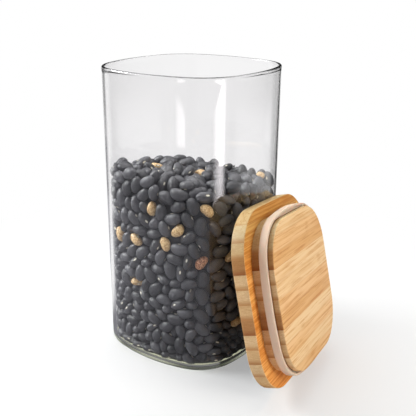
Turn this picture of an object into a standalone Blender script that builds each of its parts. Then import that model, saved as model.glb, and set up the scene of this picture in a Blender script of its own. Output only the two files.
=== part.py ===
# Square glass storage jar, filled with dry beans, with its laminated bamboo lid taken off
# and propped against it. Metres, +Z up. The origin is the middle of the jar's flat base.

import math
import random

import bmesh
import bpy
from mathutils import Matrix, Vector

# Jar
JAR_WIDTH = 0.100
JAR_HEIGHT = 0.1825
JAR_SIDE_RADIUS = 0.100
JAR_CORNER_RADIUS = 0.0297
WALL = 0.0021
FLOOR = 0.0026
HEEL_RADIUS = 0.0035
INNER_HEEL_RADIUS = 0.0034
RIM_BEAD = 0.0023
RIM_BEAD_HEIGHT = 0.0030

# Beans in the jar
FILL_HEIGHT = 0.1185
FILL_FALL = 0.010
FILL_CLEARANCE = 0.0003
HEAP_RISE = 0.002
BEAN_LENGTH = 0.0115
BEAN_WIDTH = 0.0078
BEAN_PITCH = 0.0096
BEAN_SCATTER_SHARE = 0.17
HEAP_GRID = 0.0019
BEAN_SEED = 11

# Lid: a thick plate with a plug under it that enters the jar's mouth. The plug's corners are
# rounder than a parallel of the plate's would be, because the mouth's are, and never so sharp
# that they come nearer to the mouth's corners than the corner clearance.
LID_OVERHANG = 0.0031
PLATE_THICKNESS = 0.0079
LID_SIDE_RADIUS = 1.50
LID_CORNER_RADIUS = 0.0296
PLATE_ROUND = 0.0008
LEDGE_ROUND = 0.0005
PLUG_DEPTH = 0.0131
PLUG_CLEARANCE = 0.0030
PLUG_CORNER_RADIUS = 0.0265
PLUG_CORNER_CLEARANCE = 0.0005
PLUG_ROUND = 0.0009
GROOVE_WIDTH = 0.0026
GROOVE_DEPTH = 0.0026
PLUG_TIP = 0.0042

# Bamboo staves that the lid is laminated from
STAVE_COUNT = 13
GLUE_LINE = 0.0003
EDGE_SEAM_MARGIN = 0.0015
BAMBOO_TONES = {
    "bamboo_light": (0.78, 0.58, 0.33),
    "bamboo_mid": (0.72, 0.49, 0.24),
    "bamboo_dark": (0.62, 0.36, 0.14),
}
STAVE_TONES = "mid light mid dark light light mid dark light mid light mid dark".split()

# Silicone ring in the plug's groove. Its band is bowed like the jar's mouth, which it wipes.
RING_CLEARANCE = 0.0003
RING_SIDE_RADIUS = 0.150
RING_CORNER_RADIUS = 0.027
RING_BAND_WIDTH = 0.0046
RING_BAND_THICKNESS = 0.0013
RING_SQUEEZE = 0.0005
RING_ROUND = 0.0004

# How the lid stands: turned, leaning back on the jar, and rolled onto one corner
LID_YAW = math.radians(8.85)
LID_LEAN = math.radians(14.95)
LID_ROLL = math.radians(-7.7)
LID_ALONG = -0.0161
CONTACT_GAP = 0.0003

# Facets
SIDE_STEPS = 6
CORNER_STEPS = 8
ROUND_STEPS = 4
OVERRUN = 0.005


def clear_scene():
    for thing in list(bpy.data.objects):
        bpy.data.objects.remove(thing, do_unlink=True)


def make_collection(name):
    group = bpy.data.collections.new(name)
    bpy.context.scene.collection.children.link(group)
    return group


def material(name, colour, roughness, transmission=0.0, coat=0.0, alpha=1.0):
    made = bpy.data.materials.new(name)
    made.use_nodes = True
    shader = made.node_tree.nodes["Principled BSDF"]
    shader.inputs["Base Color"].default_value = (*colour, 1.0)
    shader.inputs["Roughness"].default_value = roughness
    shader.inputs["Metallic"].default_value = 0.0
    shader.inputs["Transmission Weight"].default_value = transmission
    shader.inputs["Coat Weight"].default_value = coat
    shader.inputs["Alpha"].default_value = alpha
    made.diffuse_color = (*colour, alpha)
    return made


def add_object(name, mesh, group, surface=None):
    thing = bpy.data.objects.new(name, mesh)
    group.objects.link(thing)
    if surface:
        if not mesh.materials:
            mesh.materials.append(surface)
        thing.material_slots[0].link = "OBJECT"
        thing.material_slots[0].material = surface
    return thing


def smooth(mesh, degrees=35):
    mesh.shade_smooth()
    mesh.set_sharp_from_angle(angle=math.radians(degrees))


# How far along both axes the centre of a bowed square's corner arc lies. An inset keeps it.
def corner_centre(width, side_radius, corner_radius):
    sag = side_radius - width / 2
    reach = side_radius - corner_radius
    return (math.sqrt(2 * reach**2 - sag**2) - sag) / 2


# A square seen from above with bowed sides: four wide arcs joined by four tight ones.
# An inset of it is the same centres with every radius less by the inset.
def bowed_square(width, side_radius, corner_radius, inset=0.0, finer=1):
    sag = side_radius - width / 2
    corner = corner_centre(width, side_radius, corner_radius)
    meet = math.atan2(corner, corner + sag)
    points = []
    for quarter in range(4):
        turn = quarter * math.pi / 2
        side_steps = SIDE_STEPS * finer
        corner_steps = CORNER_STEPS * finer
        for step in range(side_steps):
            angle = -meet + 2 * meet * step / side_steps
            radius = side_radius - inset
            spot = Vector((radius * math.cos(angle) - sag, radius * math.sin(angle)))
            points.append(Matrix.Rotation(turn, 2) @ spot)
        for step in range(corner_steps):
            angle = meet + (math.pi / 2 - 2 * meet) * step / corner_steps
            radius = corner_radius - inset
            spot = Vector((corner + radius * math.cos(angle), corner + radius * math.sin(angle)))
            points.append(Matrix.Rotation(turn, 2) @ spot)
    return points


def jar_outline(inset=0.0, finer=1):
    return bowed_square(JAR_WIDTH, JAR_SIDE_RADIUS, JAR_CORNER_RADIUS, inset, finer)


# The lid's insets are all from the plate's edge
def plate_width():
    return JAR_WIDTH + 2 * LID_OVERHANG


def plug_inset():
    return LID_OVERHANG + WALL + PLUG_CLEARANCE


# The plug's corner radius. A mouth whose corners lie nearer to the middle needs rounder ones:
# the least radius is the one that ends the plug's diagonal a clearance short of the mouth's.
def plug_corner_radius(width):
    centre = corner_centre(JAR_WIDTH, JAR_SIDE_RADIUS, JAR_CORNER_RADIUS)
    room = centre * math.sqrt(2) + JAR_CORNER_RADIUS - WALL - PLUG_CORNER_CLEARANCE
    sag = LID_SIDE_RADIUS - width / 2
    slant = sag * math.sqrt(2)
    spare = LID_SIDE_RADIUS**2 - sag**2 - slant * room - room**2
    return max(PLUG_CORNER_RADIUS, spare / (2 * LID_SIDE_RADIUS - slant - 2 * room))


def plug_outline(inset):
    width = plate_width() - 2 * plug_inset()
    return bowed_square(width, LID_SIDE_RADIUS, plug_corner_radius(width), inset - plug_inset())


def lid_outline(inset):
    if inset < plug_inset():
        return bowed_square(plate_width(), LID_SIDE_RADIUS, LID_CORNER_RADIUS, inset)
    return plug_outline(inset)


# Points of an arc about a centre, in a section where x is the inset and y the height
def arc(centre_inset, centre_height, radius, start, end, steps=ROUND_STEPS):
    points = []
    for step in range(steps + 1):
        angle = math.radians(start + (end - start) * step / steps)
        points.append((centre_inset + radius * math.cos(angle), centre_height + radius * math.sin(angle)))
    return points


# Carries a section round an outline: a ring of points for each (inset, height) of the section.
# A closed section gives a ring like a gasket, and an open one is capped at both ends.
def loft(name, outline, section, closed=False):
    mesh = bpy.data.meshes.new(name)
    shape = bmesh.new()
    rings = []
    for inset, height in section:
        rings.append([shape.verts.new((spot.x, spot.y, height)) for spot in outline(inset)])
    pairs = list(zip(rings, rings[1:]))
    if closed:
        pairs.append((rings[-1], rings[0]))
    for lower, upper in pairs:
        count = len(lower)
        for i in range(count):
            j = (i + 1) % count
            shape.faces.new((lower[i], lower[j], upper[j], upper[i]))
    if not closed:
        shape.faces.new(list(reversed(rings[0])))
        shape.faces.new(rings[-1])
    bmesh.ops.recalc_face_normals(shape, faces=shape.faces)
    shape.to_mesh(mesh)
    shape.free()
    return mesh


def block(name, low, high, group):
    mesh = bpy.data.meshes.new(name)
    shape = bmesh.new()
    size = Vector(high) - Vector(low)
    middle = (Vector(high) + Vector(low)) / 2
    place = Matrix.Translation(middle) @ Matrix.Diagonal((*size, 1))
    bmesh.ops.create_cube(shape, size=1, matrix=place)
    shape.to_mesh(mesh)
    shape.free()
    return as_cutter(add_object(name, mesh, group))


def as_cutter(thing):
    thing.hide_render = True
    thing.display_type = "WIRE"
    return thing


def cut(thing, cutter, operation):
    modifier = thing.modifiers.new(cutter.name, "BOOLEAN")
    modifier.operation = operation
    modifier.solver = "EXACT"
    modifier.object = cutter


# The vessel: flat base, rounded heel, upright walls, a fire-polished bead at the rim and a
# rounded inner heel. The bead stands out of the wall a little on both faces.
def jar_section():
    top = JAR_HEIGHT - RIM_BEAD / 2
    neck = JAR_HEIGHT - RIM_BEAD_HEIGHT
    section = arc(HEEL_RADIUS, HEEL_RADIUS, HEEL_RADIUS, 270, 180)
    section.append((0, neck))
    section += arc(WALL / 2, top, RIM_BEAD / 2, 180, 0, 2 * ROUND_STEPS)
    section.append((WALL, neck))
    section += arc(WALL + INNER_HEEL_RADIUS, FLOOR + INNER_HEEL_RADIUS, INNER_HEEL_RADIUS, 180, 270)
    return section


def make_jar(group):
    mesh = loft("glass_jar", jar_outline, jar_section())
    smooth(mesh)
    glass = material("clear_glass", (0.96, 0.98, 0.97), 0.02, transmission=1.0, alpha=0.3)
    return add_object("glass_jar", mesh, group, glass)


# The heaped top has one rounded lump for each bean that lies uppermost, on a staggered grid
# with the place, turn and height of each drawn from a seeded sequence.
def bean_lumps():
    chance = random.Random(BEAN_SEED)
    reach = JAR_WIDTH / 2 + BEAN_PITCH
    rows = math.ceil(reach / BEAN_PITCH)
    scatter = BEAN_PITCH * BEAN_SCATTER_SHARE
    lifting = BEAN_WIDTH * BEAN_SCATTER_SHARE
    lumps = []
    for row in range(-rows, rows + 1):
        stagger = BEAN_PITCH / 2 if row % 2 else 0
        for column in range(-rows, rows + 1):
            x = column * BEAN_PITCH + stagger + chance.uniform(-scatter, scatter)
            y = row * BEAN_PITCH + chance.uniform(-scatter, scatter)
            lumps.append((x, y, chance.uniform(0, math.pi), chance.uniform(-lifting, lifting)))
    return lumps


def heap_height(x, y, lumps):
    span = JAR_WIDTH / 2
    rise = HEAP_RISE * (1 - (x / span) ** 2) * (1 - (y / span) ** 2) - FILL_FALL * y / JAR_WIDTH
    best = 0.0
    for lump_x, lump_y, turn, lift in lumps:
        along = (x - lump_x) * math.cos(turn) + (y - lump_y) * math.sin(turn)
        across = (y - lump_y) * math.cos(turn) - (x - lump_x) * math.sin(turn)
        inside = 1 - (2 * along / BEAN_LENGTH) ** 2 - (2 * across / BEAN_WIDTH) ** 2
        if inside > 0:
            best = max(best, math.sqrt(inside) * BEAN_WIDTH / 2 + lift)
    return FILL_HEIGHT + rise + best - BEAN_WIDTH / 2


def heap_block(group):
    lumps = bean_lumps()
    reach = JAR_WIDTH / 2 + OVERRUN
    count = round(2 * reach / HEAP_GRID)
    mesh = bpy.data.meshes.new("heap_cutter")
    shape = bmesh.new()
    bmesh.ops.create_grid(shape, x_segments=count, y_segments=count, size=reach)
    for point in shape.verts:
        point.co.z = heap_height(point.co.x, point.co.y, lumps)
    skirt = bmesh.ops.extrude_edge_only(shape, edges=[e for e in shape.edges if e.is_boundary])
    lower = [item for item in skirt["geom"] if isinstance(item, bmesh.types.BMVert)]
    for point in lower:
        point.co.z = -OVERRUN
    bmesh.ops.contextual_create(shape, geom=[e for e in shape.edges if e.is_boundary])
    bmesh.ops.recalc_face_normals(shape, faces=shape.faces)
    shape.to_mesh(mesh)
    shape.free()
    return as_cutter(add_object("heap_cutter", mesh, group))


def make_beans(group, cutters):
    inset = WALL + FILL_CLEARANCE
    bottom = FLOOR + FILL_CLEARANCE
    section = arc(inset + INNER_HEEL_RADIUS, bottom + INNER_HEEL_RADIUS, INNER_HEEL_RADIUS, 270, 180)
    section.append((inset, JAR_HEIGHT))
    mesh = loft("bean_fill", jar_outline, section)
    shell = material("black_bean", (0.035, 0.035, 0.042), 0.32, coat=0.3)
    beans = add_object("bean_fill", mesh, group, shell)
    cut(beans, heap_block(cutters), "INTERSECT")
    return beans


# The lid's own frame: the plate's outer face lies in its XY plane, +Z goes through the plug,
# and the staves run along X, so they stack up along Y.
def groove_start():
    return PLATE_THICKNESS + PLUG_DEPTH - PLUG_TIP - GROOVE_WIDTH


def lid_section():
    plug = plug_inset()
    tip = PLATE_THICKNESS + PLUG_DEPTH
    start = groove_start()
    section = arc(PLATE_ROUND, PLATE_ROUND, PLATE_ROUND, 270, 180)
    section += arc(LEDGE_ROUND, PLATE_THICKNESS - LEDGE_ROUND, LEDGE_ROUND, 180, 90, 2)
    section.append((plug, PLATE_THICKNESS))
    section.append((plug, start))
    section.append((plug + GROOVE_DEPTH, start))
    section.append((plug + GROOVE_DEPTH, start + GROOVE_WIDTH))
    section.append((plug, start + GROOVE_WIDTH))
    section += arc(plug + PLUG_ROUND, tip - PLUG_ROUND, PLUG_ROUND, 180, 90)
    return section


# Seams between the staves, from the top edge down. The staves have one width, apart from the
# first and the last, which were sawn to size and lie just outside the plug.
def stave_seams():
    top = plate_width() / 2
    first = top - plug_inset() + EDGE_SEAM_MARGIN
    width = 2 * first / (STAVE_COUNT - 2)
    seams = [top + OVERRUN]
    seams += [first - width * step for step in range(STAVE_COUNT - 1)]
    seams.append(-top - OVERRUN)
    return seams


def make_lid(group, cutters, holder):
    tones = {name: material(name, colour, 0.5) for name, colour in BAMBOO_TONES.items()}
    blank = loft("lid_blank", lid_outline, lid_section())
    smooth(blank)
    seams = stave_seams()
    reach = plate_width() / 2 + OVERRUN
    depth = PLATE_THICKNESS + PLUG_DEPTH + OVERRUN
    staves = []
    for index, (high, low) in enumerate(zip(seams, seams[1:]), start=1):
        saw_low = (-reach, low + GLUE_LINE / 2, -OVERRUN)
        saw_high = (reach, high - GLUE_LINE / 2, depth)
        saw = block(f"stave_saw_{index:02d}", saw_low, saw_high, cutters)
        saw.parent = holder
        tone = tones["bamboo_" + STAVE_TONES[(index - 1) % len(STAVE_TONES)]]
        stave = add_object(f"lid_stave_{index:02d}", blank, group, tone)
        stave.parent = holder
        cut(stave, saw, "INTERSECT")
        staves.append(stave)
    return blank, staves


def band_inset():
    return LID_OVERHANG + WALL - RING_SQUEEZE


# The ring's stem follows the plug, and its band the mouth
def ring_outline(inset):
    if inset < plug_inset():
        width = plate_width() - 2 * band_inset()
        return bowed_square(width, RING_SIDE_RADIUS, RING_CORNER_RADIUS, inset - band_inset())
    return plug_outline(inset)


# The ring's section is a T: a stem in the groove and a flat band outside it that wipes the glass.
def ring_section():
    plug = plug_inset()
    start = groove_start()
    middle = start + GROOVE_WIDTH / 2
    stem = GROOVE_WIDTH / 2 - RING_CLEARANCE
    root = plug + GROOVE_DEPTH - RING_CLEARANCE
    outer = band_inset()
    inner = outer + RING_BAND_THICKNESS
    low = middle - RING_BAND_WIDTH / 2
    high = middle + RING_BAND_WIDTH / 2
    section = [(root, middle - stem), (inner, middle - stem), (inner, low)]
    section += arc(outer + RING_ROUND, low + RING_ROUND, RING_ROUND, 270, 180, 2)
    section += arc(outer + RING_ROUND, high - RING_ROUND, RING_ROUND, 180, 90, 2)
    section += [(inner, high), (inner, middle + stem), (root, middle + stem)]
    return section


def make_ring(group, holder):
    mesh = loft("silicone_ring", ring_outline, ring_section(), closed=True)
    smooth(mesh)
    silicone = material("silicone", (0.74, 0.60, 0.54), 0.45)
    ring = add_object("silicone_ring", mesh, group, silicone)
    ring.parent = holder
    return ring


def lid_turn():
    upright = Matrix.Rotation(math.pi / 2, 3, "Y") @ Matrix.Rotation(math.pi / 2, 3, "Z")
    lean = Matrix.Rotation(-LID_LEAN, 3, "Y")
    return Matrix.Rotation(LID_YAW, 3, "Z") @ lean @ upright @ Matrix.Rotation(LID_ROLL, 3, "Z")


# How far the lid moves out along the given direction before the point is clear of the jar
def push_out(spot, outline, away):
    least = None
    for i, start in enumerate(outline):
        end = outline[(i + 1) % len(outline)]
        edge = end - start
        normal = Vector((edge.y, -edge.x)).normalized()
        facing = normal.dot(away)
        if facing > 0:
            needed = (normal.dot(start) + CONTACT_GAP - normal.dot(spot)) / facing
            least = needed if least is None else min(least, needed)
    return least


# Stands the lid on the surface with its top edge just clear of the jar's wall
def place_holder(holder, blank):
    turn = lid_turn()
    corners = [turn @ point.co for point in blank.vertices]
    along = Vector((-math.sin(LID_YAW), math.cos(LID_YAW)))
    away = Vector((math.cos(LID_YAW), math.sin(LID_YAW)))
    start = along * LID_ALONG
    outline = jar_outline(finer=ROUND_STEPS)
    out = max(push_out(start + corner.xy, outline, away) for corner in corners)
    spot = start + away * out
    holder.location = (spot.x, spot.y, -min(corner.z for corner in corners))
    holder.rotation_euler = turn.to_euler()


def main():
    clear_scene()
    parts = make_collection("glass_storage_jar")
    cutters = make_collection("cutters")
    cutters.hide_render = True
    make_jar(parts)
    make_beans(parts, cutters)
    holder = bpy.data.objects.new("lid_pose", None)
    parts.objects.link(holder)
    blank, staves = make_lid(parts, cutters, holder)
    make_ring(parts, holder)
    place_holder(holder, blank)


main()
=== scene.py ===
import math

import bmesh
import bpy
import numpy as np
from mathutils import Matrix, Vector


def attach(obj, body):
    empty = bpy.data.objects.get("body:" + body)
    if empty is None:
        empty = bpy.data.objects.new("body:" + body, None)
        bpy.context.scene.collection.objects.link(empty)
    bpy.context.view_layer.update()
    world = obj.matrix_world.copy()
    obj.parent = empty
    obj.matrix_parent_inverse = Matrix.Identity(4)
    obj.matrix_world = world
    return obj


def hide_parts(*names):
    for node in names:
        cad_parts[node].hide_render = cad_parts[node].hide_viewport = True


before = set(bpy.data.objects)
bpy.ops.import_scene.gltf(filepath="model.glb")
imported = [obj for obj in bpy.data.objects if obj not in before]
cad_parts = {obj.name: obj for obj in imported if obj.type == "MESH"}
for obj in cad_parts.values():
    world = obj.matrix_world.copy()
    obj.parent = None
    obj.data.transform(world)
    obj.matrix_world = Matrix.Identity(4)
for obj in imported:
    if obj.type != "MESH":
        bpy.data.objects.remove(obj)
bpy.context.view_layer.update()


# Small helpers

smoothAngle = 32  # degrees, under which an edge is shaded smooth
white = (1, 1, 1)
black = (0, 0, 0)


def newObject(name, mesh):
    thing = bpy.data.objects.new(name, mesh)
    bpy.context.scene.collection.objects.link(thing)
    return thing


class Val:
    # one output socket, so that shader maths reads as plain maths
    def __init__(self, tree, socket):
        self.tree, self.socket = tree, socket

    def maths(self, operation, *values):
        return self.tree.add("ShaderNodeMath", dict(operation=operation), dict(enumerate(values)))

    def __add__(self, other): return self.maths("ADD", self, other)
    def __radd__(self, other): return self.maths("ADD", self, other)
    def __sub__(self, other): return self.maths("SUBTRACT", self, other)
    def __rsub__(self, other): return self.maths("SUBTRACT", other, self)
    def __mul__(self, other): return self.maths("MULTIPLY", self, other)
    def __rmul__(self, other): return self.maths("MULTIPLY", self, other)
    def __truediv__(self, other): return self.maths("DIVIDE", self, other)
    def __rtruediv__(self, other): return self.maths("DIVIDE", other, self)
    def __pow__(self, other): return self.maths("POWER", self, other)
    def above(self, other): return self.maths("GREATER_THAN", self, other)
    def below(self, other): return self.maths("LESS_THAN", self, other)
    def size(self): return self.maths("ABSOLUTE", self)
    def fraction(self): return self.maths("FRACT", self)
    def most(self, other): return self.maths("MAXIMUM", self, other)
    def least(self, other): return self.maths("MINIMUM", self, other)

    # goes smoothly from the start value at low to the end value at high
    def ease(self, low, high, end=1, start=0):
        values = {"Value": self, "From Min": low, "From Max": high, "To Min": start, "To Max": end}
        return self.tree.add("ShaderNodeMapRange", dict(interpolation_type="SMOOTHSTEP"), values)

    def fade(self, low, high, start=1):
        return self.ease(low, high, 0, start)


class Tree:
    # a node tree with one method that adds any node
    def __init__(self, nodeTree):
        self.nodeTree = nodeTree

    def add(self, kind, settings=None, values=None, out=0):
        node = self.nodeTree.nodes.new(kind)
        for key, value in (settings or {}).items():
            setattr(node, key, value)
        for key, value in (values or {}).items():
            socket = node.inputs[key]
            if isinstance(value, Val):
                self.nodeTree.links.new(value.socket, socket)
            else:
                socket.default_value = value
        return Val(self, node.outputs[out])

    def mix(self, share, one, two, blend="MIX"):
        one, two = (colour if isinstance(colour, Val) else (*colour, 1) for colour in (one, two))
        values = {"Factor": share, 6: one, 7: two}
        return self.add("ShaderNodeMix", dict(data_type="RGBA", blend_type=blend), values, out=2)

    def multiply(self, share, one, two):
        return self.mix(share, one, two, "MULTIPLY")

    def vector(self, operation, *vectors, out=0):
        return self.add("ShaderNodeVectorMath", dict(operation=operation), dict(enumerate(vectors)), out)

    def dot(self, one, two):
        return self.vector("DOT_PRODUCT", one, two, out="Value")

    # a vector whose parts are the value times each of the sizes
    def spread(self, value, sizes):
        even = self.add("ShaderNodeCombineXYZ", None, {0: value, 1: value, 2: value})
        return self.vector("MULTIPLY", even, sizes)

    def noise(self, vector, scale=1.0, detail=3.0, roughness=0.55):
        values = {"Vector": vector, "Scale": scale, "Detail": detail, "Roughness": roughness}
        return self.add("ShaderNodeTexNoise", None, values)

    def parts(self, vector):
        node = self.add("ShaderNodeSeparateXYZ", None, {0: vector}).socket.node
        return [Val(self, socket) for socket in node.outputs]

    def objectPlace(self):
        return self.add("ShaderNodeTexCoord", out="Object")

    def attribute(self, name, out="Vector"):
        return self.add("ShaderNodeAttribute", dict(attribute_name=name), out=out)

    def lightPath(self, out):
        return self.add("ShaderNodeLightPath", out=out)

    def bump(self, height, strength, distance):
        return self.add("ShaderNodeBump", None, {"Height": height, "Strength": strength, "Distance": distance})

    def glow(self, colour, strength):
        colour = colour if isinstance(colour, Val) else (*colour, 1)
        return self.add("ShaderNodeEmission", None, {"Color": colour, "Strength": strength})

    def mixShader(self, share, one, two):
        return self.add("ShaderNodeMixShader", None, {0: share, 1: one, 2: two})


class MaterialTree(Tree):
    # a new material's tree, with its Principled shader
    def __init__(self, name, values):
        self.material = bpy.data.materials.new(name)
        self.material.use_nodes = True
        super().__init__(self.material.node_tree)
        self.principled = self.nodeTree.nodes["Principled BSDF"]
        for key, value in values.items():
            self.principled.inputs[key].default_value = value

    def shader(self):
        return Val(self, self.principled.outputs[0])

    def feed(self, values):
        for key, value in values.items():
            self.nodeTree.links.new(value.socket, self.principled.inputs[key])

    def show(self, shader):
        self.nodeTree.links.new(shader.socket, self.nodeTree.nodes["Material Output"].inputs[0])


# How far out along both axes a bowed square's corner arc has its centre, and at which angle a side meets a corner
def cornerCentre(width, sideRadius, cornerRadius):
    sag = sideRadius - width / 2
    reach = sideRadius - cornerRadius
    corner = (math.sqrt(2 * reach**2 - sag**2) - sag) / 2
    return corner, math.atan2(corner, corner + sag)


# A square seen from above with bowed sides: four wide arcs joined by four tight ones.
# Returns the outline's points and the direction outwards at each, so an inset is points - inset * outwards.
def bowedSquare(width, sideRadius, cornerRadius, sideSteps, cornerSteps):
    sag = sideRadius - width / 2
    corner, meet = cornerCentre(width, sideRadius, cornerRadius)
    angles = np.concatenate([
        np.linspace(-meet, meet, sideSteps, endpoint=False),
        np.linspace(meet, math.pi / 2 - meet, cornerSteps, endpoint=False),
    ])
    outwards = np.column_stack([np.cos(angles), np.sin(angles)])
    onSide = (np.arange(len(angles)) < sideSteps)[:, None]
    spots = np.where(onSide, outwards * sideRadius - [sag, 0], outwards * cornerRadius + corner)
    turns = [np.array([[c, -s], [s, c]]) for c, s in ((1, 0), (0, 1), (-1, 0), (0, -1))]
    return np.vstack([spots @ t.T for t in turns]), np.vstack([outwards @ t.T for t in turns])


def arcPoints(centreInset, centreHeight, radius, start, end, steps):
    angles = np.radians(np.linspace(start, end, steps + 1))
    return [(centreInset + radius * math.cos(a), centreHeight + radius * math.sin(a)) for a in angles]


# Carries a section of (inset, height) points round an outline
def follow(outline, section):
    spots, outwards = outline
    return [np.column_stack([spots - inset * outwards, np.full(len(spots), height)]) for inset, height in section]


def loft(name, points, closed=False):
    faces = []
    rings, count = len(points), len(points[0])
    for ringIndex in range(rings if closed else rings - 1):
        low, high = ringIndex * count, (ringIndex + 1) % rings * count
        for i in range(count):
            j = (i + 1) % count
            faces.append((low + i, low + j, high + j, high + i))
    if not closed:
        faces.append(tuple(reversed(range(count))))
        faces.append(tuple((rings - 1) * count + i for i in range(count)))
    mesh = bpy.data.meshes.new(name)
    mesh.from_pydata(np.vstack(points).tolist(), [], faces)
    shape = bmesh.new()
    shape.from_mesh(mesh)
    bmesh.ops.recalc_face_normals(shape, faces=shape.faces)
    shape.to_mesh(mesh)
    shape.free()
    return mesh


def smoothUnder(mesh, degrees):
    mesh.shade_smooth()
    mesh.set_sharp_from_angle(angle=math.radians(degrees))


def quad(name, corners, material):
    mesh = bpy.data.meshes.new(name)
    mesh.from_pydata(corners, [], [(0, 1, 2, 3)])
    mesh.materials.append(material)
    return newObject(name, mesh)


# Camera

view = dict(azimuth=0.61056, elevation=0.34765, roll=0.0004, distance=0.42522, focal=647.60,
            across=-15.232, down=-0.815, target=(0, 0, 0.090), frame=416, sensor=36, nearest=0.01)


def turned(one, two, angle):
    return one * math.cos(angle) + two * math.sin(angle), two * math.cos(angle) - one * math.sin(angle)


def placeCamera():
    az, el = view["azimuth"], view["elevation"]
    back = Vector((math.sin(az) * math.cos(el), -math.cos(az) * math.cos(el), math.sin(el)))
    ahead = -back
    right = ahead.cross(Vector((0, 0, 1))).normalized()
    up = right.cross(ahead)
    right, ahead = turned(right, ahead, math.atan2(view["across"], view["focal"]))
    ahead, up = turned(ahead, up, math.atan2(view["down"], view["focal"]))
    right, up = turned(right, up, view["roll"])
    lens = bpy.data.cameras.new("photoLens")
    lens.sensor_width = view["sensor"]
    lens.lens = view["focal"] / view["frame"] * view["sensor"]
    lens.clip_start = view["nearest"]
    camera = newObject("photoCamera", lens)
    turn = Matrix((right, up, -ahead)).transposed().to_4x4()
    camera.matrix_world = Matrix.Translation(Vector(view["target"]) + back * view["distance"]) @ turn
    bpy.context.scene.camera = camera


placeCamera()
print("camera placed")


# Floor, world and lamps
# Seen directly the room is white, and so is the paper seen through glass. Mirrored, the room is dark, with white
# walls behind the jar and at its left, a card at the back right, a soft box overhead, a strip of light at either
# side of the lens, and grey paper close by.

# In the dictionaries a mask is the two values between which it rises or falls, and its strength where it isn't 1.
# A fourth value is what it starts from.
studio = dict(
    floorSize=12.0, paper=(0.88, 0.89, 0.90), paperRoughness=0.9, dark=0.035,
    # how the paper turns white: in part at the jar's foot, and the rest of the way with distance
    whiteFoot=(0.039, 0.041, 0.36), whiteReach=(0.05, 0.28, 0.64),
    # the mirrored room: ways out from the jar, how near a way has to be to each to see it, and at what distances
    behind=(-0.573, 0.819, 0.0), backWall=(0.85, 0.93), sideWall=(0.15, 0.50, 0.9), sideWallEnd=(0.70, 0.77),
    farSide=(-0.996, -0.087, 0.0), farEdge=(-0.05, 0.05), farReach=(0.50, 0.65, 0.28),
    cardSide=(0.656, 0.755, 0.0), card=(0.88, 0.96), cardReach=(0.55, 1.1, 0.70),
    veilSide=(-0.54, -0.77, 0.0), veil=(0.42, 0.42, 0.46), veilFoot=(0.07, 0.15, 1.0, 0.5),
    veilInner=(0.28, 0.36, 0.5), veilOuter=(0.55, 0.90, 0.5),
    # painted shade, a dark glow, on the paper that the glass bends towards the lens: below the jar, and in a ring
    # close behind it
    bentFoot=(0.0375, 0.0395), bentStart=(0.066, 0.080), bentEnd=(0.20, 0.33), bentSide=(0.2, 0.6, 0.8),
    bentShadeLevel=0.02,
    # the world: the mirrored wall's top and the mirrored ceiling, and the soft light that falls on everything,
    # less from one side and from low down
    wallTop=(0.0, 0.10), ceiling=(0.45, 0.70), soft=0.45, shadeSide=(0.60, -0.80, 0.0),
    shade=(-0.2, 0.6, 0.03, 1.0), lowDown=(0.0, 0.6, 1.0, 0.35))

# strips of light: azimuths of the two ends, heights where the light fades in, height of the top and its slant,
# shares of the width over which the two ends fade, level
strips = dict(
    right=dict(angles=(57, 88), low=(0.020, 0.030), top=0.1155, slant=0.29, soft=(0.6, 0.6), level=12.0),
    left=dict(angles=(-6, 8), low=(0.083, 0.089), top=0.132, slant=-0.29, soft=(0.3, 0.75), level=4.5))
stripForm = dict(away=0.27, height=0.17, colour=(1, 0.95, 0.97), topFade=(0.008, 0.004))

# cards across the two ends of the gap between the jar and the lid, and the lid's shaded back
gapCards = dict(gapFront=dict(y=-0.046, near=0.038, foot=0.084, tip=0.057),
                gapBack=dict(y=0.042, near=0.044, foot=0.071, tip=0.047))
gapHeights = (0.0005, 0.103)
lidShadeSpots = [(0.0861, -0.055, 0.001), (0.0729, 0.030, 0.001), (0.0494, 0.030, 0.088), (0.0625, -0.055, 0.088)]

lamps = [
    dict(name="overheadSoftbox", place=(-0.25, 0.30, 0.95), target=(0, 0, 0.05), size=0.9, power=4.2),
    dict(name="leftFill", place=(-0.95, -0.42, 0.70), target=(0, 0, 0.08), size=0.45, power=14),
    dict(name="rightFill", place=(1.00, -0.05, 0.55), target=(0.07, 0, 0.06), size=0.5, power=5.6,
         colour=(1, 0.96, 0.90), mirrored=False),
]


# White straight behind the jar and at the left, with a dark card between them that draws the glass's edges
def aroundBehind(tree, way):
    nearness = tree.dot(way, studio["behind"])
    side = nearness.ease(*studio["sideWall"]) * nearness.fade(*studio["sideWallEnd"])
    return nearness.ease(*studio["backWall"]).most(side * tree.dot(way, studio["farSide"]).above(0))


# What the jar's mirror shows where the floor is
def mirroredFloor(tree, way, distance):
    veil = distance.fade(*studio["veilOuter"]) + distance.fade(*studio["veilInner"])
    veil = veil * distance.ease(*studio["veilFoot"]) * tree.dot(way, studio["veilSide"]).above(0)
    grey = tree.mix(veil, (studio["dark"],) * 3, studio["veil"])
    card = tree.dot(way, studio["cardSide"]).ease(*studio["card"]) * distance.fade(*studio["cardReach"])
    far = tree.dot(way, studio["farSide"]).ease(*studio["farEdge"]) * distance.ease(*studio["farReach"])
    return tree.mix(aroundBehind(tree, way).most(card).most(far), grey, white)


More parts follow.
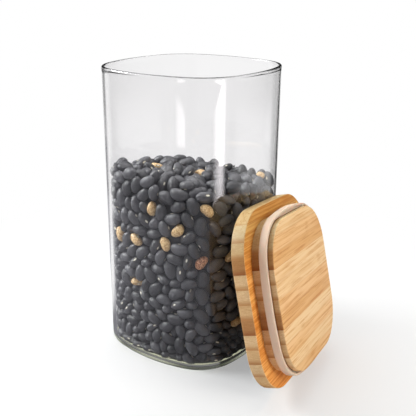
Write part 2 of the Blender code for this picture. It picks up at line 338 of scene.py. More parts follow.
def makeFloor():
    half = studio["floorSize"]
    paperColour, roughness = (*studio["paper"], 1), studio["paperRoughness"]
    values = {"Base Color": paperColour, "Roughness": roughness, "Specular IOR Level": 0.0}
    tree = MaterialTree("whitePaper", values)
    place = tree.objectPlace()
    distance = tree.vector("LENGTH", place, out="Value")
    way = tree.vector("NORMALIZE", place)
    x, y, _ = tree.parts(place)
    square = (x ** 4 + y ** 4) ** 0.25  # how far out the jar's square foot would reach
    # the lens sees the paper lit near the jar and plain white further off, and scattered light finds it lit
    beyond = square.ease(*studio["whiteFoot"]) + distance.ease(*studio["whiteReach"])
    paper = tree.mixShader(beyond, tree.shader(), tree.glow(white, 1.0))
    paper = tree.mixShader(tree.lightPath("Is Diffuse Ray"), paper, tree.shader())
    # what the rim and the base bend towards the lens gets painted shade: a dark glow in place of the paper
    bentRing = distance.ease(*studio["bentStart"]) * distance.fade(*studio["bentEnd"])
    bentRing = bentRing * tree.dot(way, studio["behind"]).ease(*studio["bentSide"])
    bentShade = tree.lightPath("Transmission Depth").above(1) * square.fade(*studio["bentFoot"]).most(bentRing)
    paper = tree.mixShader(bentShade, paper, tree.glow(white, studio["bentShadeLevel"]))
    mirrored = tree.glow(mirroredFloor(tree, way, distance), 1.0)
    tree.show(tree.mixShader(tree.lightPath("Glossy Depth").above(0.5), paper, mirrored))
    corners = [(-half, -half, 0), (half, -half, 0), (half, half, 0), (-half, half, 0)]
    floor = quad("floor", corners, tree.material)


# A strip of light that only the outside of the glass mirrors
def makeStrip(name, strip):
    (startX, startY), (endX, endY) = [
        (stripForm["away"] * math.sin(math.radians(angle)), -stripForm["away"] * math.cos(math.radians(angle)))
        for angle in strip["angles"]]
    top = stripForm["height"]
    corners = [(startX, startY, 0), (startX, startY, top), (endX, endY, top), (endX, endY, 0)]
    width = math.hypot(endX - startX, endY - startY)
    ahead = Vector(((endX - startX) / width, (endY - startY) / width, 0))
    tree = MaterialTree(name, {})
    place = tree.objectPlace()
    height = tree.parts(place)[2]
    along = tree.dot(place, ahead) - ahead.dot((startX, startY, 0))
    rising, falling = (width * share for share in strip["soft"])
    below, over = stripForm["topFade"]
    level = along.ease(0, rising) * along.fade(falling, width) * height.ease(*strip["low"])
    level = level * (height - along * strip["slant"]).fade(strip["top"] - below, strip["top"] + over)
    light = tree.glow(stripForm["colour"], level * strip["level"])
    clear = tree.add("ShaderNodeBsdfTransparent")
    shown = tree.lightPath("Glossy Depth").above(0.5) * tree.lightPath("Transmission Depth").below(0.5)
    tree.show(tree.mixShader(shown, clear, light))
    piece = quad(name, corners, tree.material)
    piece.visible_camera = piece.visible_diffuse = piece.visible_shadow = False


# Black cards that keep the gap between the jar and the lid as dark as it is in the photo: two close its ends to
# scattered light, and one stands for the lid's shaded back, also where the jar mirrors it
def makeBlackCard(name, corners, mirrored):
    tree = MaterialTree(name, {"Base Color": (*black, 1), "Specular IOR Level": 0.0})
    card = quad(name, corners, tree.material)
    card.visible_camera = card.visible_transmission = card.visible_shadow = False
    card.visible_glossy = mirrored


def makeGapCards():
    low, high = gapHeights
    for name, card in gapCards.items():
        y, near, foot, tip = card["y"], card["near"], card["foot"], card["tip"]
        makeBlackCard(name, [(near, y, low), (foot, y, low), (tip, y, high), (near, y, high)], mirrored=False)
    # painted shade: a black sheet for the lid's shaded back, in scattered light and in the jar's mirror
    makeBlackCard("lidShade", lidShadeSpots, mirrored=True)


def makeWorld():
    world = bpy.data.worlds.new("softStudio")
    bpy.context.scene.world = world
    world.use_nodes = True
    tree = Tree(world.node_tree)
    way = tree.add("ShaderNodeTexCoord", out="Generated")
    up = tree.parts(way)[2]
    bright = (aroundBehind(tree, way) * up.fade(*studio["wallTop"])).most(up.ease(*studio["ceiling"]))
    mirrored = studio["dark"] + bright * (1 - studio["dark"])
    level = mirrored + tree.lightPath("Is Camera Ray") * (1 - mirrored)
    soft = tree.dot(way, studio["shadeSide"]).ease(*studio["shade"]) * up.ease(*studio["lowDown"]) * studio["soft"]
    level = level + tree.lightPath("Is Diffuse Ray") * (soft - level)
    background = world.node_tree.nodes["Background"]
    background.inputs["Color"].default_value = (*white, 1)
    world.node_tree.links.new(level.socket, background.inputs["Strength"])


def addLamp(name, place, target, size, power, colour=white, mirrored=True):
    light = bpy.data.lights.new(name, "AREA")
    light.shape = "RECTANGLE"
    light.size = light.size_y = size
    light.energy = power
    light.color = colour
    lamp = newObject(name, light)
    lamp.location = place
    lamp.rotation_euler = (Vector(target) - Vector(place)).to_track_quat("-Z", "Y").to_euler()
    lamp.visible_camera = lamp.visible_transmission = False
    lamp.visible_glossy = mirrored


makeFloor()
for side, strip in strips.items():
    makeStrip(side + "Strip", strip)
makeGapCards()
makeWorld()
for lamp in lamps:
    addLamp(**lamp)
bpy.context.scene.view_settings.view_transform = "Standard"
print("floor, world and lamps made")


# The glass vessel

jar = dict(width=0.100, height=0.1825, sideRadius=0.100, cornerRadius=0.0297, wall=0.0021, floor=0.0026,
           heel=0.0035, innerHeel=0.0034, bead=0.0023, beadHeight=0.0030, neckBlend=0.001, beadArc=(196, -16),
           steps=(28, 26), heelSteps=10, wallSteps=8, beadSteps=20, wallFrom=0.02, floorInsets=(0.022, 0.010),
           ior=1.5, colour=(0.972, 0.967, 0.971), baseColour=(0.88, 0.90, 0.58), baseTint=(0.002, 0.006),
           shadow=(0.93, 0.95, 0.94))


# Clear glass, greener in its thick base, that lets light through to the beans
def makeGlassMaterial():
    tree = MaterialTree("clearGlass", {"Roughness": 0.0, "IOR": jar["ior"], "Transmission Weight": 1.0})
    low = tree.parts(tree.objectPlace())[2].fade(*jar["baseTint"])
    tree.feed({"Base Color": tree.mix(low, jar["colour"], jar["baseColour"])})
    clear = tree.add("ShaderNodeBsdfTransparent", None, {"Color": (*jar["shadow"], 1)})
    tree.show(tree.mixShader(tree.lightPath("Is Shadow Ray"), tree.shader(), clear))
    return tree.material


def jarOutline(steps):
    return bowedSquare(jar["width"], jar["sideRadius"], jar["cornerRadius"], *steps)


def makeJar():
    heel, inner, bead = jar["heel"], jar["innerHeel"], jar["bead"] / 2
    neck = jar["height"] - jar["beadHeight"] - jar["neckBlend"]
    wallHeights = np.linspace(jar["wallFrom"], neck, jar["wallSteps"])
    section = [(inset, 0.0) for inset in jar["floorInsets"]]
    section += arcPoints(heel, heel, heel, 270, 180, jar["heelSteps"])
    section += [(0, height) for height in wallHeights]
    section += arcPoints(jar["wall"] / 2, jar["height"] - bead, bead, *jar["beadArc"], jar["beadSteps"])
    section += [(jar["wall"], height) for height in wallHeights[::-1]]
    section += arcPoints(jar["wall"] + inner, jar["floor"] + inner, inner, 180, 270, jar["heelSteps"])
    section += [(inset, jar["floor"]) for inset in reversed(jar["floorInsets"])]
    mesh = loft("jarGlass", follow(jarOutline(jar["steps"]), section))
    mesh.shade_smooth()
    mesh.materials.append(makeGlassMaterial())
    glass = newObject("jarGlass", mesh)
    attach(glass, "jar")
    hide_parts("glass_jar")


makeJar()
print("jar made")


# The beans

bean = dict(length=0.0114, width=0.0079, thick=0.0063, least=0.88, most=1.08, paleSize=0.86, seed=7,
            segments=12, rings=8, hollow=0.16, hollowReach=0.45, bend=0.06, taper=0.04, waist=0.05)
# the heap: its gap to the glass, the middle that stays empty, the grid it is laid in, and the slope of its top
heap = dict(clear=0.0002, core=0.0335, coreTop=0.1035, pitch=0.00765, top=0.131, spare=0.010,
            height=0.1195, fall=-0.155, lean=-0.003)
# how the beans settle: when they sink slower and then not at all, how far they sink and are pulled to the glass in
# a round, how near two of them have to be to be tried against each other, and how much of a push is taken
settle = dict(rounds=300, jitter=0.35, slower=0.55, still=0.8, sink=0.00010, slowSink=0.00003, pull=0.00010,
              pullReach=0.75, pairEvery=5, pairReach=1.08, pairSpare=0.0008, spin=0.2, coreMargin=0.6,
              share=1.6, leastShare=0.22, mostTurn=0.4, tiny=1e-9, tinyTurn=1e-12)
# the heap's core, near-black painted shade in place of the beans deep inside: its section's insets and heights,
# and how far its top lies below the heap's
dark = dict(inset=0.0052, lowInset=0.0012, foot=0.0006, shoulder=0.008, heights=(0.06, 0.10), crown=0.006,
            depth=0.0105, edgeDrop=0.003, steps=(16, 12))
# the beans' skins, each a dark and a light colour, the near-black painted shade of the heap's core, and the pale
# scar in its dark rim
skin = dict(
    black=((0.007, 0.007, 0.009), (0.128, 0.126, 0.142)), core=(0.003, 0.003, 0.004),
    pale=((0.50, 0.26, 0.09), (0.88, 0.64, 0.34)), paleGrain=(0.35, 0.6),
    red=((0.32, 0.08, 0.025), (0.85, 0.46, 0.24)), redGrain=(0.4, 0.6),
    seeds=(31, 47, 59), grain=0.9, grainShare=0.5, roughness=0.32, roughGrain=0.2, bump=(0.4, 0.0003),
    scarSize=(1.3, 0.6), scarEdge=(0.75, 1.0), scarSide=-2.0, scar=((0.98, 0.95, 0.86), (0.80, 0.74, 0.60)),
    scarTone=(0.1, 0.7), rim=(0.012, 0.010, 0.009), rimEdge=(1.1, 1.5, 0.7))
# where the pale beans lie, the last of them a broken reddish one
paleSpots = [
    (-0.0249, -0.0010, 0.1182), (-0.0174, 0.0077, 0.1175), (0.0042, 0.0067, 0.1179), (0.0028, -0.0479, 0.1068),
    (0.0395, -0.0352, 0.1057), (-0.0265, -0.0442, 0.0803), (-0.0091, -0.0475, 0.0822), (0.0169, -0.0464, 0.0880),
    (0.0141, -0.0468, 0.0778), (-0.0142, -0.0469, 0.0464), (0.0397, 0.0225, 0.1168), (0.0456, -0.0209, 0.0783),
    (0.0465, -0.0166, 0.0303), (0.0337, -0.0406, 0.0735)]
paleTone, redTone = 1.0, 3.0


def heapLevel(x, y):
    return heap["height"] + heap["fall"] * y + heap["lean"] * x


# How far each spot lies inside the jar's inner face, and the direction away from that face
def wallGap(spots, inset):
    sag = jar["sideRadius"] - jar["width"] / 2
    corner, meet = cornerCentre(jar["width"], jar["sideRadius"], jar["cornerRadius"])
    sign = np.where(spots[:, :2] < 0, -1.0, 1.0)
    flat = np.abs(spots[:, :2])
    swap = flat[:, 1] > flat[:, 0]
    flat[swap] = flat[swap][:, ::-1]
    onSide = np.arctan2(flat[:, 1], flat[:, 0] + sag) < meet
    centre = np.where(onSide[:, None], [[-sag, 0.0]], [[corner, corner]])
    radius = np.where(onSide, jar["sideRadius"], jar["cornerRadius"]) - inset
    away = centre - flat
    far = np.linalg.norm(away, axis=1) + settle["tiny"]
    away = away / far[:, None]
    away[swap] = away[swap][:, ::-1]
    return radius - far, np.column_stack([away * sign, np.zeros(len(spots))])


def gather(where, values, count):
    return np.column_stack([np.bincount(where, values[:, i], count) for i in range(3)])


def crossMatrix(axis):
    made = np.zeros((len(axis), 3, 3))
    made[:, 0, 1], made[:, 0, 2], made[:, 1, 2] = -axis[:, 2], axis[:, 1], -axis[:, 0]
    return made - made.transpose(0, 2, 1)


def randomTurns(chance, count):
    w, x, y, z = (lambda q: q / np.linalg.norm(q, axis=1)[:, None])(chance.normal(size=(count, 4))).T
    rows = [
        [1 - 2 * (y * y + z * z), 2 * (x * y - w * z), 2 * (x * z + w * y)],
        [2 * (x * y + w * z), 1 - 2 * (x * x + z * z), 2 * (y * z - w * x)],
        [2 * (x * z - w * y), 2 * (y * z + w * x), 1 - 2 * (x * x + y * y)],
    ]
    return np.stack([np.stack(row, -1) for row in rows], 1)


# A loose staggered grid of beans, without the middle of the heap, which nobody sees
def beanGrid(chance, radius, floor, inset):
    pitch = heap["pitch"]
    across = int(jar["width"] / pitch) + 1
    layers = int((heap["top"] + heap["spare"] - floor) / pitch) + 1
    grid = np.stack(np.meshgrid(range(across), range(across), range(layers), indexing="ij"), -1)
    grid = grid.reshape(-1, 3) * 1.0
    grid[:, :2] += (grid[:, 2:3] % 2) / 2
    spots = (grid - [(across - 1) / 2, (across - 1) / 2, 0]) * pitch + [0, 0, floor + radius]
    spots += chance.uniform(-settle["jitter"], settle["jitter"], spots.shape) * pitch
    gap, _ = wallGap(spots, inset)
    margin = radius * settle["coreMargin"]
    inCore = (np.abs(spots[:, :2]).max(1) < heap["core"] + margin) & (spots[:, 2] < heap["coreTop"] + margin)
    return spots[(gap > radius / 2) & ~inCore]


# Which way the glass, the floor, the inner heel and the core push each ball, and how deep the ball is in them
def jarContacts(balls, radii, floor, inset):
    gap, away = wallGap(balls, inset)
    lift = balls[:, 2] - floor
    upward = np.zeros_like(balls) + [0, 0, 1.0]
    inward, lower = jar["innerHeel"] - gap, jar["innerHeel"] - lift
    bend = np.hypot(inward, lower) + settle["tiny"]
    inHeel = (inward > 0) & (lower > 0)
    fromHeel = (away * inward[:, None] + upward * lower[:, None]) / bend[:, None]
    sideways = np.abs(balls[:, :2])
    sideDepth = heap["core"] + radii - sideways.max(1)
    topShadeDepth = heap["coreTop"] + radii - balls[:, 2]
    inCore = (sideDepth > 0) & (topShadeDepth > 0)
    outward = np.zeros_like(balls)
    rows, widest = np.arange(len(balls)), sideways.argmax(1)
    outward[rows, widest] = np.sign(balls[rows, widest])
    return [
        (away, radii - gap),
        (upward, radii - lift),
        (fromHeel, np.where(inHeel, bend - jar["innerHeel"] + radii, 0)),
        (upward, np.where(inCore & (topShadeDepth < sideDepth), topShadeDepth, 0)),
        (outward, np.where(inCore & (topShadeDepth >= sideDepth), sideDepth, 0)),
    ]


# Lays beans loosely in the jar and pushes them apart and down until they lie against each other and the glass.
# Each bean is four balls while it settles.
def settleBeans():
    chance = np.random.default_rng(bean["seed"])
    half = np.array([bean["length"], bean["width"], bean["thick"]]) / 2
    radius = half[2]
    endways, sideways = half[0] - radius, half[1] - radius
    ball = np.array([[-endways, 0, 0], [endways, 0, 0], [0, -sideways, 0], [0, sideways, 0]])
    floor, inset = jar["floor"] + heap["clear"], jar["wall"] + heap["clear"]
    spots = beanGrid(chance, radius, floor, inset)
    count = len(spots)
    turn = randomTurns(chance, count)
    size = chance.uniform(bean["least"], bean["most"], count)
    balls = ball * size[:, None, None]
    radii = radius * size
    spin = settle["spin"] * (half[0] ** 2 + half[1] ** 2) * size**2
    owner = np.repeat(np.arange(count), len(ball))
    ballRadii = np.repeat(radii, len(ball))
    for step in range(settle["rounds"]):
        calm = step / settle["rounds"]
        if step % settle["pairEvery"] == 0:
            apart = ((spots[:, None] - spots[None]) ** 2).sum(-1)
            near = bean["length"] * settle["pairReach"] + settle["pairSpare"]
            one, two = np.nonzero(np.triu(apart < near ** 2, 1))
        slowly = settle["slowSink"] if calm < settle["still"] else 0
        spots[:, 2] -= settle["sink"] if calm < settle["slower"] else slowly
        gap, away = wallGap(spots, inset)
        pulled = (gap < bean["length"] * settle["pullReach"]) & (calm < settle["still"])
        spots -= away * np.where(pulled, settle["pull"], 0)[:, None]
        # beans against beans
        world = np.einsum("nij,nkj->nki", turn, balls) + spots[:, None]
        gaps = world[one][:, :, None] - world[two][:, None]
        far = np.sqrt((gaps**2).sum(-1)) + settle["tiny"]
        over = (radii[one] + radii[two])[:, None, None] - far
        pair, a, b = np.nonzero(over > 0)
        normal = gaps[pair, a, b] / far[pair, a, b][:, None]
        bodyA, bodyB = one[pair], two[pair]
        leverA = np.cross(world[bodyA, a] - spots[bodyA], normal)
        leverB = np.cross(world[bodyB, b] - spots[bodyB], normal)
        weight = 2 + (leverA**2).sum(1) / spin[bodyA] + (leverB**2).sum(1) / spin[bodyB]
        force = (over[pair, a, b] / weight)[:, None]
        shift = gather(bodyA, normal * force, count) - gather(bodyB, normal * force, count)
        twist = gather(bodyA, leverA * force, count) - gather(bodyB, leverB * force, count)
        hits = np.bincount(bodyA, minlength=count) + np.bincount(bodyB, minlength=count) * 1.0
        # beans against the jar and the core
        flat = world.reshape(-1, 3)
        for normal, depth in jarContacts(flat, ballRadii, floor, inset):
            hit = np.nonzero(depth > 0)[0]
            body = owner[hit]
            lever = np.cross(flat[hit] - spots[body], normal[hit])
            force = (depth[hit] / (1 + (lever**2).sum(1) / spin[body]))[:, None] * 2
            shift += gather(body, normal[hit] * force, count)
            twist += gather(body, lever * force, count)
            hits += 2 * np.bincount(body, minlength=count)
        taken = np.maximum(settle["share"] / np.maximum(hits, settle["share"]), settle["leastShare"])[:, None]
        spots += shift * taken
        twist = twist * taken / spin[:, None]
        angle = np.linalg.norm(twist, axis=1) + settle["tinyTurn"]
        matrix = crossMatrix(twist / angle[:, None])
        angle = np.minimum(angle, settle["mostTurn"])[:, None, None]
        turn = (np.eye(3) + np.sin(angle) * matrix + (1 - np.cos(angle)) * (matrix @ matrix)) @ turn
    highest = spots[:, 2] + np.sqrt(((turn[:, 2] * half) ** 2).sum(1)) * size
    kept = highest < heapLevel(spots[:, 0], spots[:, 1])
    return spots[kept], turn[kept], size[kept]


# One bean: an ellipsoid with a shallow hollow along one long edge, where its pale scar is
def makeBeanMesh():
    mesh = bpy.data.meshes.new("beanShape")
    shape = bmesh.new()
    bmesh.ops.create_uvsphere(shape, u_segments=bean["segments"], v_segments=bean["rings"], radius=1)
    for point in shape.verts:
        x, y, z = point.co.z, point.co.x, point.co.y
        hollow = bean["hollow"] * math.exp(-((x / bean["hollowReach"]) ** 2)) * max(-y, 0)
        bend = bean["bend"] * (1 - x * x) - bean["bend"] / 2
        length = x * (1 - bean["taper"] * y)
        width = y * (1 - bean["waist"] * x * x) + hollow + bend
        point.co = (length * bean["length"] / 2, width * bean["width"] / 2, z * bean["thick"] / 2)
    bmesh.ops.recalc_face_normals(shape, faces=shape.faces)
    shape.to_mesh(mesh)
    shape.free()
    mesh.shade_smooth()
    place = mesh.attributes.new("inBean", "FLOAT_VECTOR", "POINT")
    place.data.foreach_set("vector", np.array([v.co * 1000 for v in mesh.vertices], float).ravel())
    return newObject("beanShape", mesh)


# Lengths in a bean are in millimetres. Its tone is under 1 for a black bean, up to 2 for a pale one and 3 for the
# red one, and the heap's core, which is near-black painted shade, has none.
def makeBeanMaterial():
    tree = MaterialTree("blackBeanSkin", {"Specular IOR Level": 0.8})
    local = tree.attribute("inBean")
    tone = tree.attribute("beanTone", "Fac")
    x, y, z = tree.parts(local)
    grain = tree.noise(tree.vector("ADD", local, tree.spread(tone, skin["seeds"])), skin["grain"])
    shade = (grain * skin["grainShare"] + tone * (1 - skin["grainShare"])).least(1)
    # the heap's core gets its near-black colour: painted shade
    colour = tree.mix(tone.above(0.0001), skin["core"], tree.mix(shade, *skin["black"]))
    pale = tree.mix(grain.ease(*skin["paleGrain"]), *skin["pale"])
    red = tree.mix(grain.ease(*skin["redGrain"]), *skin["red"])
    colour = tree.mix(tone.above(1.0), colour, tree.mix(tone.above(2.0), pale, red))
    scarLength, scarWidth = skin["scarSize"]
    reach = (x * x / scarLength**2 + z * z / scarWidth**2) ** 0.5
    onEdge = y.below(skin["scarSide"])
    colour = tree.mix(reach.fade(*skin["rimEdge"]) * onEdge, colour, skin["rim"])
    scar = tree.mix(reach.ease(*skin["scarTone"]), *skin["scar"])
    colour = tree.mix(reach.fade(*skin["scarEdge"]) * onEdge, colour, scar)
    tree.feed({
        "Base Color": colour,
        "Roughness": skin["roughness"] + grain * skin["roughGrain"],
        "Normal": tree.bump(grain, *skin["bump"]),
    })
    return tree.material


# The heap's core, a bean's depth behind the glass and under the top: near-black painted shade that closes the gaps
# in between
def makeHeapCore():
    wall, floor, inner = jar["wall"], jar["floor"] + heap["clear"], jar["innerHeel"]
    inset = wall + dark["inset"]
    section = [(wall + inner, floor + dark["foot"]), (wall + dark["lowInset"], floor + inner)]
    section += [(inset, height) for height in (floor + dark["shoulder"], *dark["heights"])]
    section.append((inset + dark["crown"], dark["heights"][1]))
    rings = follow(jarOutline(dark["steps"]), section)
    for edge, drop in ((rings[-2], dark["edgeDrop"]), (rings[-1], 0.0)):
        edge[:, 2] = heapLevel(edge[:, 0], edge[:, 1]) - dark["depth"] - drop
    return newObject("heapCore", loft("heapCore", rings))


# A bean at every point, turned and sized by the point's attributes, and the core
def makeBeanTree():
    group = bpy.data.node_groups.new("layBeans", "GeometryNodeTree")
    for name, kind in (("Geometry", "Geometry"), ("Bean", "Object"), ("Core", "Object"), ("Skin", "Material")):
        group.interface.new_socket(name, in_out="INPUT", socket_type="NodeSocket" + kind)
    group.interface.new_socket("Geometry", in_out="OUTPUT", socket_type="NodeSocketGeometry")
    tree = Tree(group)
    start, end = group.nodes.new("NodeGroupInput"), group.nodes.new("NodeGroupOutput")
    points, oneBean, core, paint = (Val(tree, start.outputs[key]) for key in ("Geometry", "Bean", "Core", "Skin"))
    oneBean = tree.add("GeometryNodeObjectInfo", None, {"Object": oneBean}, out="Geometry")
    core = tree.add("GeometryNodeObjectInfo", None, {"Object": core}, out="Geometry")
    turn = tree.add("GeometryNodeInputNamedAttribute", dict(data_type="FLOAT_VECTOR"), {"Name": "beanTurn"})
    turn = tree.add("FunctionNodeEulerToRotation", None, {0: turn})
    size = tree.add("GeometryNodeInputNamedAttribute", dict(data_type="FLOAT"), {"Name": "beanSize"})
    values = {"Points": points, "Instance": oneBean, "Rotation": turn, "Scale": size}
    laid = tree.add("GeometryNodeInstanceOnPoints", None, values)
    both = tree.add("GeometryNodeJoinGeometry", None, {"Geometry": core})
    group.links.new(laid.socket, both.socket.node.inputs["Geometry"])
    real = tree.add("GeometryNodeRealizeInstances", None, {"Geometry": both})
    painted = tree.add("GeometryNodeSetMaterial", None, {"Geometry": real, "Material": paint})
    group.links.new(painted.socket, end.inputs["Geometry"])
    return group


# Turns an object with a nodes modifier into a plain mesh
def plainMesh(carrier, group, inputs, name):
    modifier = carrier.modifiers.new("nodes", "NODES")
    modifier.node_group = group
    names = {item.name: item.identifier for item in group.interface.items_tree if item.in_out == "INPUT"}
    for key, value in inputs.items():
        modifier[names[key]] = value
    graph = bpy.context.evaluated_depsgraph_get()
    mesh = bpy.data.meshes.new_from_object(carrier.evaluated_get(graph))
    mesh.name = name
    bpy.data.objects.remove(carrier)
    return newObject(name, mesh)


def makeBeans():
    spots, turn, size = settleBeans()
    chance = np.random.default_rng(bean["seed"] + 1)
    tone = chance.uniform(0, 0.999, len(spots))
    for spot in paleSpots:
        nearest = np.linalg.norm(spots - spot, axis=1).argmin()
        tone[nearest] = redTone if spot is paleSpots[-1] else paleTone + chance.uniform(0.1, 0.9)
        size[nearest] *= bean["paleSize"]
    mesh = bpy.data.meshes.new("beanSpots")
    mesh.from_pydata(spots.tolist(), [], [])
    eulers = np.array([Matrix(t).to_euler() for t in turn.tolist()], float)
    mesh.attributes.new("beanTurn", "FLOAT_VECTOR", "POINT").data.foreach_set("vector", eulers.ravel())
    for name, values in (("beanSize", size), ("beanTone", tone)):
        mesh.attributes.new(name, "FLOAT", "POINT").data.foreach_set("value", values)
    carrier = newObject("beanSpots", mesh)
    shape, core = makeBeanMesh(), makeHeapCore()
    inputs = {"Bean": shape, "Core": core, "Skin": makeBeanMaterial()}
    beans = plainMesh(carrier, makeBeanTree(), inputs, "beans")
    for helper in (shape, core):
        bpy.data.objects.remove(helper)
    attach(beans, "jar")
    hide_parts("bean_fill")
    print("beans", len(spots), "faces", len(beans.data.polygons))


makeBeans()


# The bamboo lid

lid = dict(overhang=0.0031, plate=0.0079, sideRadius=1.50, cornerRadius=0.0296, plateRound=0.0008,
           ledgeRound=0.0005, plug=0.0131, plugClear=0.0030, plugCorner=0.0265, plugRound=0.0009, groove=0.0026,
           grooveDepth=0.0026, tip=0.0042, staves=13, seamMargin=0.0015, sawSpare=0.005, glue=0.00006, yaw=8.85,
           lean=14.95, roll=-7.7, spot=(0.065424, -0.006107, 0.053700), steps=(24, 30), roundSteps=8, ledgeSteps=4,
           tipSteps=6, ledgeLevel=0.9, ledgeNear=0.0004)
staveTones = "mid light mid dark light light mid dark light mid light mid dark".split()
goldenShare = 0.381966  # spreads the staves' seeds
longTones = dict(light=(0.89, 0.57, 0.265), mid=(0.86, 0.50, 0.205), dark=(0.79, 0.42, 0.145))
endTones = dict(light=(0.82, 0.58, 0.31), mid=(0.76, 0.50, 0.24), dark=(0.52, 0.25, 0.08))
# noise in the bamboo: how close it lies along, across and through the lid, its detail and its roughness
grains = dict(
    fibre=((0.025, 0.9, 0.9), 4, 0.7), streak=((0.013, 0.45, 0.45), 3, 0.6), cloud=((0.03, 0.12, 0.12), 2, 0.5),
    dots=((0.3, 3.2, 1.9), 2, 0.6), layers=((0.2, 3.4, 0.25), 3, 0.6))
bamboo = dict(
    seeds=(173, 61, 37), dark=(0.78, 0.58, 0.38), pale=(1.06, 1.14, 1.30), endDark=(0.66, 0.42, 0.24),
    streak=(0.35, 0.65), fibre=(0.50, 0.66, 0.85), cloud=(0.5, 0.75, 0.3), knuckleSpread=7.31, knuckleReach=190,
    knuckleWave=14, knuckle=(0.4, 5.0, 0.8), knuckleBase=0.6, knuckleGrain=(0.2, 0.7), seam=(0.0, 0.10, 0.35),
    dots=(0.42, 0.62, 0.30), layers=(0.45, 0.60, 0.38), low=(0.04, 0.45, 0.9), lowGrain=0.3, endGrain=(0.55, 0.85),
    # painted shade: on the ledge, where it is also painted bounce light, in the gap beside the ring, and towards
    # the top
    ledgeShadeFibre=(0.42, 0.55, 0.7), ledge=(1.10, 0.82, 0.44), gap=(16.9, 18.3, 0.9), gapShadeFrom=13.0,
    gapShadeColour=(0.36, 0.27, 0.22), top=(14, 46), topShadeDepth=20.4, topShadeColour=(0.74, 0.84, 0.86),
    roughness=0.42, roughFibre=0.22, bump=(0.25, 0.0002))


def lidMatrix():
    yaw, lean, roll = (math.radians(lid[key]) for key in ("yaw", "lean", "roll"))
    upright = Matrix.Rotation(math.pi / 2, 4, "Y") @ Matrix.Rotation(math.pi / 2, 4, "Z")
    turn = Matrix.Rotation(yaw, 4, "Z") @ Matrix.Rotation(-lean, 4, "Y") @ upright @ Matrix.Rotation(roll, 4, "Z")
    return Matrix.Translation(lid["spot"]) @ turn


def plugInset():
    return lid["overhang"] + jar["wall"] + lid["plugClear"]


def lidOutline(inset, cornerRadius):
    width = jar["width"] + 2 * lid["overhang"] - 2 * inset
    return bowedSquare(width, lid["sideRadius"], cornerRadius, *lid["steps"])


# The plug's corners are rounder than the plate's, like the mouth's
def plugOutline():
    return lidOutline(plugInset(), lid["plugCorner"])


def grooveStart():
    return lid["plate"] + lid["plug"] - lid["tip"] - lid["groove"]


# Plate and plug in the lid's own frame: the plate's outer face lies at 0 and the plug goes up
def lidRings():
    start = grooveStart()
    tip = lid["plate"] + lid["plug"]
    plate = arcPoints(lid["plateRound"], lid["plateRound"], lid["plateRound"], 270, 180, lid["roundSteps"])
    ledge = lid["plate"] - lid["ledgeRound"]
    plate += arcPoints(lid["ledgeRound"], ledge, lid["ledgeRound"], 180, 90, lid["ledgeSteps"])
    plug = [(0, lid["plate"]), (0, start), (lid["grooveDepth"], start)]
    plug += [(lid["grooveDepth"], start + lid["groove"]), (0, start + lid["groove"])]
    plug += arcPoints(lid["plugRound"], tip - lid["plugRound"], lid["plugRound"], 180, 90, lid["tipSteps"])
    return follow(lidOutline(0, lid["cornerRadius"]), plate) + follow(plugOutline(), plug)


# Seams from the top edge down. The first and the last stave lie just outside the plug.
def staveSeams():
    top = jar["width"] / 2 + lid["overhang"]
    first = top - plugInset() + lid["seamMargin"]
    width = 2 * first / (lid["staves"] - 2)
    ends = top + lid["sawSpare"]
    return [ends] + [first - width * step for step in range(lid["staves"] - 1)] + [-ends]


def tinted(colour, shares):
    return tuple(min(c * s, 1) for c, s in zip(colour, shares))


# Lengths on the lid are in millimetres: x along the staves, y up the lid and z from the plate's outer face
def makeBambooMaterial(name, base, end):
    tree = MaterialTree(name, {})
    place = tree.vector("MULTIPLY", tree.attribute("lidPlace"), (1000, 1000, 1000))
    marks = ("staveSeed", "staveShare", "endGrain", "onLedge")
    seed, edge, across, ledge = (tree.attribute(mark, "Fac") for mark in marks)
    own = tree.vector("ADD", place, tree.spread(seed, bamboo["seeds"]))
    fibre, streak, cloud, dots, layers = (
        tree.noise(tree.vector("MULTIPLY", own, closeness), 1.0, detail, roughness)
        for closeness, detail, roughness in grains.values())
    deep, pale = tinted(base, bamboo["dark"]), tinted(base, bamboo["pale"])
    endDeep = tinted(end, bamboo["endDark"])
    x, y, z = tree.parts(place)
    # long grain: fine fibres, broader streaks, and a knuckle across some staves
    colour = tree.mix(streak.ease(*bamboo["streak"]), pale, base)
    colour = tree.mix(fibre.ease(*bamboo["fibre"]), colour, deep)
    colour = tree.mix(cloud.ease(*bamboo["cloud"]), colour, deep)
    knuckle = (seed * bamboo["knuckleSpread"]).fraction() * bamboo["knuckleReach"] - bamboo["knuckleReach"] / 2
    away = (x - knuckle + (cloud - 0.5) * bamboo["knuckleWave"]).size()
    broken = (fibre + streak - bamboo["knuckleBase"]).ease(*bamboo["knuckleGrain"])
    colour = tree.mix(away.fade(*bamboo["knuckle"]) * broken, colour, deep)
    colour = tree.mix(edge.fade(*bamboo["seam"]), colour, deep)
    # end grain: dots of fibre in layers, closer and darker towards the stave's lower side
    cut = tree.mix(dots.ease(*bamboo["dots"]), end, endDeep)
    cut = tree.mix(layers.ease(*bamboo["layers"]), cut, endDeep)
    lowSide = edge + (dots - 0.5) * bamboo["lowGrain"]
    cut = tree.mix(lowSide.fade(*bamboo["low"]), cut, endDeep)
    colour = tree.mix(across.ease(*bamboo["endGrain"]), colour, cut)
    # painted shade and painted bounce light: the ledge round the plug, in the recess beside it, is darker and
    # redder
    colour = tree.mix(ledge * fibre.ease(*bamboo["ledgeShadeFibre"]), colour, deep)
    colour = tree.multiply(ledge, colour, bamboo["ledge"])
    # painted shade: the gap beside the ring is dark, and the board is a little duller and greener towards its top
    colour = tree.multiply(z.fade(*bamboo["gap"]) * z.above(bamboo["gapShadeFrom"]), colour, bamboo["gapShadeColour"])
    colour = tree.multiply(y.ease(*bamboo["top"]) * z.below(bamboo["topShadeDepth"]), colour, bamboo["topShadeColour"])
    tree.feed({
        "Base Color": colour,
        "Roughness": bamboo["roughness"] + fibre * bamboo["roughFibre"],
        "Normal": tree.bump(fibre, *bamboo["bump"]),
    })
    return tree.material


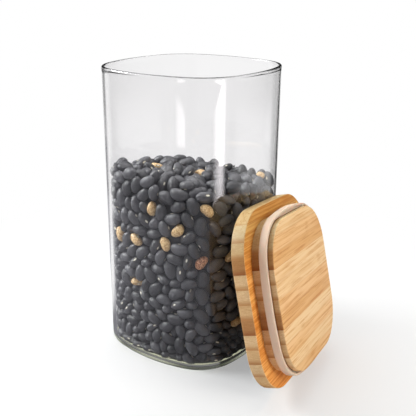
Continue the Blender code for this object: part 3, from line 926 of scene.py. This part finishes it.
# Cuts the part of the blank between two heights across the lid, and closes the sawn faces
def sawStave(blank, name, low, high):
    shape = bmesh.new()
    shape.from_mesh(blank)
    for height, normal in ((low, (0, -1, 0)), (high, (0, 1, 0))):
        geometry = shape.verts[:] + shape.edges[:] + shape.faces[:]
        sawn = bmesh.ops.bisect_plane(
            shape, geom=geometry, plane_co=(0, height, 0), plane_no=normal, clear_outer=True)
        edges = [item for item in sawn["geom_cut"] if isinstance(item, bmesh.types.BMEdge)]
        if edges:
            bmesh.ops.edgeloop_fill(shape, edges=edges)
    bmesh.ops.triangulate(shape, faces=[face for face in shape.faces if len(face.verts) > 4])
    bmesh.ops.recalc_face_normals(shape, faces=shape.faces)
    mesh = bpy.data.meshes.new(name)
    shape.to_mesh(mesh)
    shape.free()
    return mesh


# Marks where each point lies in the lid and in its stave, and at each face's corners how far the face cuts across
# the grain and whether it is the ledge round the plug
def markStave(mesh, low, high, seed):
    places = np.array([v.co for v in mesh.vertices], float)
    mesh.attributes.new("lidPlace", "FLOAT_VECTOR", "POINT").data.foreach_set("vector", places.ravel())
    shares = (places[:, 1] - low) / (high - low)
    across, ledge = [], []
    for face in mesh.polygons:
        facesOut = abs(face.normal.z) > lid["ledgeLevel"]
        onLedge = facesOut and abs(face.center.z - lid["plate"]) < lid["ledgeNear"]
        across += [abs(face.normal.x)] * face.loop_total
        ledge += [float(onLedge)] * face.loop_total
    marks = (("staveShare", "POINT", shares), ("staveSeed", "POINT", np.full(len(places), seed)),
             ("endGrain", "CORNER", across), ("onLedge", "CORNER", ledge))
    for name, where, values in marks:
        mesh.attributes.new(name, "FLOAT", where).data.foreach_set("value", values)


def makeLid():
    blank = loft("lidBlank", lidRings())
    matrix = lidMatrix()
    seams = staveSeams()
    paints = {tone: makeBambooMaterial(tone + "Bamboo", longTones[tone], endTones[tone]) for tone in longTones}
    for index, (high, low) in enumerate(zip(seams, seams[1:])):
        name = f"bambooStave{index + 1:02d}"
        mesh = sawStave(blank, name, low + lid["glue"] / 2, high - lid["glue"] / 2)
        smoothUnder(mesh, smoothAngle)
        markStave(mesh, low, high, (index * goldenShare) % 1)
        mesh.transform(matrix)
        tone = staveTones[index]
        mesh.materials.append(paints[tone])
        stave = newObject(name, mesh)
        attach(stave, "lid")
        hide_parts(f"lid_stave_{index + 1:02d}")
    bpy.data.meshes.remove(blank)


# The silicone ring: a stem in the plug's groove, and a band bowed like the jar's mouth, which it wipes

ring = dict(clear=0.0003, width=0.0046, thick=0.0013, squeeze=0.0005, round=0.0004, roundSteps=5,
            sideRadius=0.150, cornerRadius=0.027, tones=((0.72, 0.53, 0.40), (0.80, 0.62, 0.48)), cloud=(60, 2),
            roughness=0.42, subsurface=0.35, radii=(0.004, 0.002, 0.0015))


def makeSiliconeMaterial():
    values = {"Roughness": ring["roughness"], "Subsurface Weight": ring["subsurface"],
              "Subsurface Radius": ring["radii"], "Subsurface Scale": 1.0}
    tree = MaterialTree("milkySilicone", values)
    tree.feed({"Base Color": tree.mix(tree.noise(tree.objectPlace(), *ring["cloud"]), *ring["tones"])})
    return tree.material


def bandOutline():
    width = jar["width"] - 2 * (jar["wall"] - ring["squeeze"])
    return bowedSquare(width, ring["sideRadius"], ring["cornerRadius"], *lid["steps"])


def makeRing():
    middle = grooveStart() + lid["groove"] / 2
    stem = lid["groove"] / 2 - ring["clear"]
    root = lid["grooveDepth"] - ring["clear"]
    low, high = middle - ring["width"] / 2, middle + ring["width"] / 2
    curve, thick, steps = ring["round"], ring["thick"], ring["roundSteps"]
    band = [(thick, middle - stem), (thick, low)]
    band += arcPoints(curve, low + curve, curve, 270, 180, steps)
    band += arcPoints(curve, high - curve, curve, 180, 90, steps)
    band += [(thick, high), (thick, middle + stem)]
    rings = follow(plugOutline(), [(root, middle - stem)]) + follow(bandOutline(), band)
    rings += follow(plugOutline(), [(root, middle + stem)])
    mesh = loft("sealRing", rings, closed=True)
    smoothUnder(mesh, smoothAngle)
    mesh.transform(lidMatrix())
    mesh.materials.append(makeSiliconeMaterial())
    seal = newObject("sealRing", mesh)
    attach(seal, "lid")
    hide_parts("silicone_ring")


makeLid()
makeRing()
print("lid and ring made")
